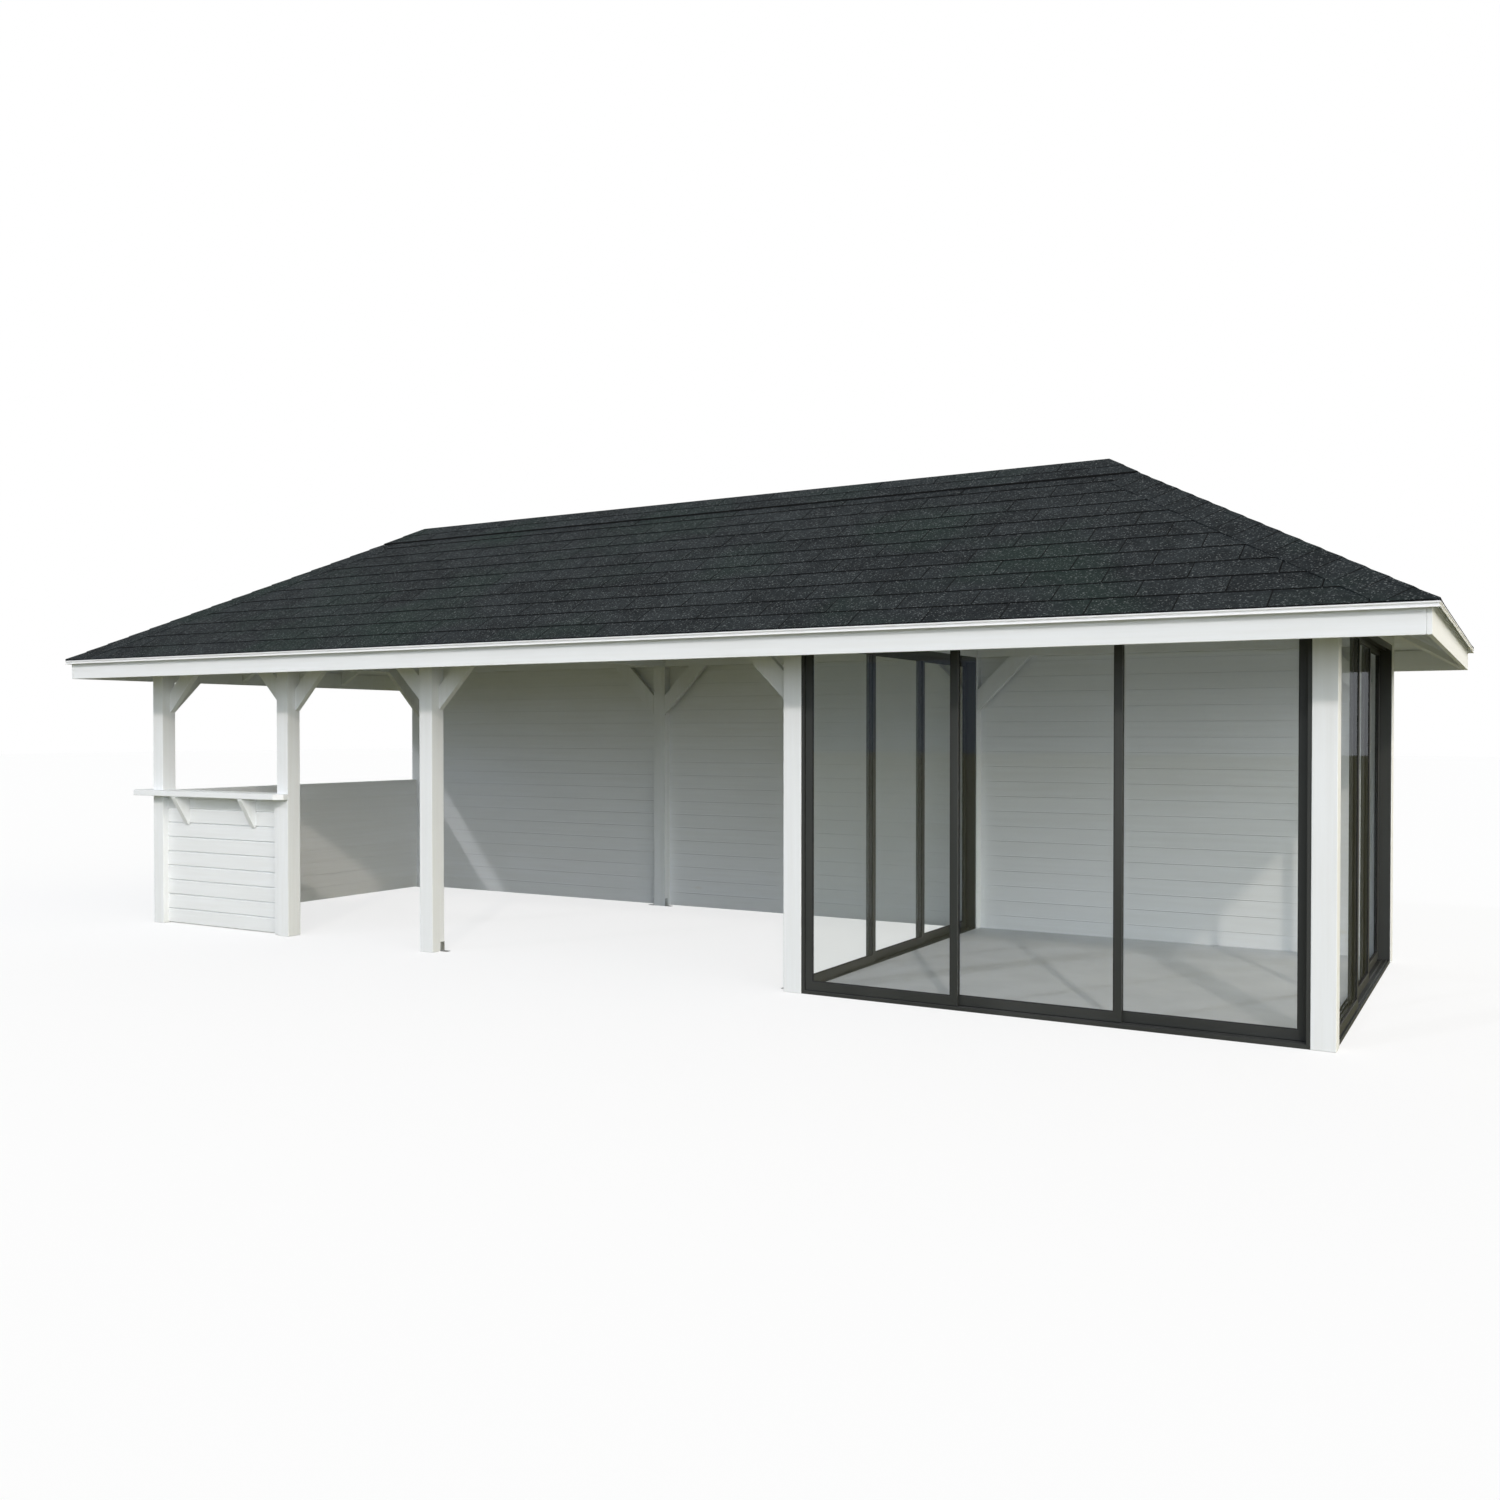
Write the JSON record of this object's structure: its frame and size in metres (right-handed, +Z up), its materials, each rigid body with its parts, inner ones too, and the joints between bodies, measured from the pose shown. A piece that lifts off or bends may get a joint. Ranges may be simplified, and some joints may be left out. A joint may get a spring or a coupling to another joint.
{
  "type": "hipped timber pavilion",
  "caption": "White timber garden pavilion with a hipped shingle roof, a boarded back wall, a bar counter at the left, open bays and a room closed by sliding glass at the right.",
  "frame": {"origin": "on the ground under the middle of the roof's plan", "axes": "+X along the front towards the glazed room, +Y to the back, +Z up"},
  "size_m": [9.974, 4.03, 3.3365],
  "materials": {
    "painted_timber": "white opaque paint",
    "roof_shingle": "mineral-faced bitumen",
    "edge_metal": "mill finish",
    "galvanised_steel": "galvanised",
    "floor_screed": "smooth concrete",
    "dark_aluminium": "black powder coat",
    "clear_glass": "clear"
  },
  "bodies": {
    "building": {"front_post_1": "painted_timber", "front_post_2": "painted_timber", "front_post_3": "painted_timber", "front_post_4": "painted_timber", "front_post_5": "painted_timber", "back_post_1": "painted_timber", "back_post_2": "painted_timber", "back_post_3": "painted_timber", "back_post_4": "painted_timber", "front_wall_plate": "painted_timber", "back_wall_plate": "painted_timber", "end_wall_plates": "painted_timber", "tie_beams": "painted_timber", "knee_braces": "painted_timber", "ridge_board": "painted_timber", "hip_rafters": "painted_timber", "common_rafters": "painted_timber", "jack_rafters": "painted_timber", "roof_deck": "painted_timber", "fascia_boards": "painted_timber", "back_wall": "painted_timber", "left_half_wall": "painted_timber", "bar_wall": "painted_timber", "bar_shelf": "painted_timber", "shelf_brackets": "painted_timber", "shingle_courses": "roof_shingle", "ridge_cap": "roof_shingle", "hip_caps": "roof_shingle", "eave_edge_strips": "edge_metal", "post_anchors": "galvanised_steel", "room_floor": "floor_screed", "front_track_frame": "dark_aluminium", "right_track_frame": "dark_aluminium", "partition_track_frame": "dark_aluminium"},
    "front_leaf_1": {"front_panel_1": "dark_aluminium", "front_glass_1": "clear_glass"},
    "front_leaf_2": {"front_panel_2": "dark_aluminium", "front_glass_2": "clear_glass"},
    "front_leaf_3": {"front_panel_3": "dark_aluminium", "front_glass_3": "clear_glass"},
    "right_leaf_1": {"right_panel_1": "dark_aluminium", "right_glass_1": "clear_glass"},
    "right_leaf_2": {"right_panel_2": "dark_aluminium", "right_glass_2": "clear_glass"},
    "right_leaf_3": {"right_panel_3": "dark_aluminium", "right_glass_3": "clear_glass"},
    "partition_leaf_1": {"partition_panel_1": "dark_aluminium", "partition_glass_1": "clear_glass"},
    "partition_leaf_2": {"partition_panel_2": "dark_aluminium", "partition_glass_2": "clear_glass"},
    "partition_leaf_3": {"partition_panel_3": "dark_aluminium", "partition_glass_3": "clear_glass"}
  },
  "joints": [
    {"name": "front_slide_1", "type": "slide", "parent": "building", "child": "front_leaf_1", "axis": [1, 0, 0], "range_m": [0, 1.8347]},
    {"name": "front_slide_2", "type": "slide", "parent": "building", "child": "front_leaf_2", "axis": [1, 0, 0], "range_m": [-0.9173, 0.9173]},
    {"name": "front_slide_3", "type": "slide", "parent": "building", "child": "front_leaf_3", "axis": [1, 0, 0], "range_m": [-1.8347, 0]},
    {"name": "right_slide_1", "type": "slide", "parent": "building", "child": "right_leaf_1", "axis": [0, 1, 0], "range_m": [0, 1.8347]},
    {"name": "right_slide_2", "type": "slide", "parent": "building", "child": "right_leaf_2", "axis": [0, 1, 0], "range_m": [-0.9173, 0.9173]},
    {"name": "right_slide_3", "type": "slide", "parent": "building", "child": "right_leaf_3", "axis": [0, 1, 0], "range_m": [-1.8347, 0]},
    {"name": "partition_slide_1", "type": "slide", "parent": "building", "child": "partition_leaf_1", "axis": [0, 1, 0], "range_m": [0, 1.8347]},
    {"name": "partition_slide_2", "type": "slide", "parent": "building", "child": "partition_leaf_2", "axis": [0, 1, 0], "range_m": [-0.9173, 0.9173]},
    {"name": "partition_slide_3", "type": "slide", "parent": "building", "child": "partition_leaf_3", "axis": [0, 1, 0], "range_m": [-1.8347, 0]}
  ]
}
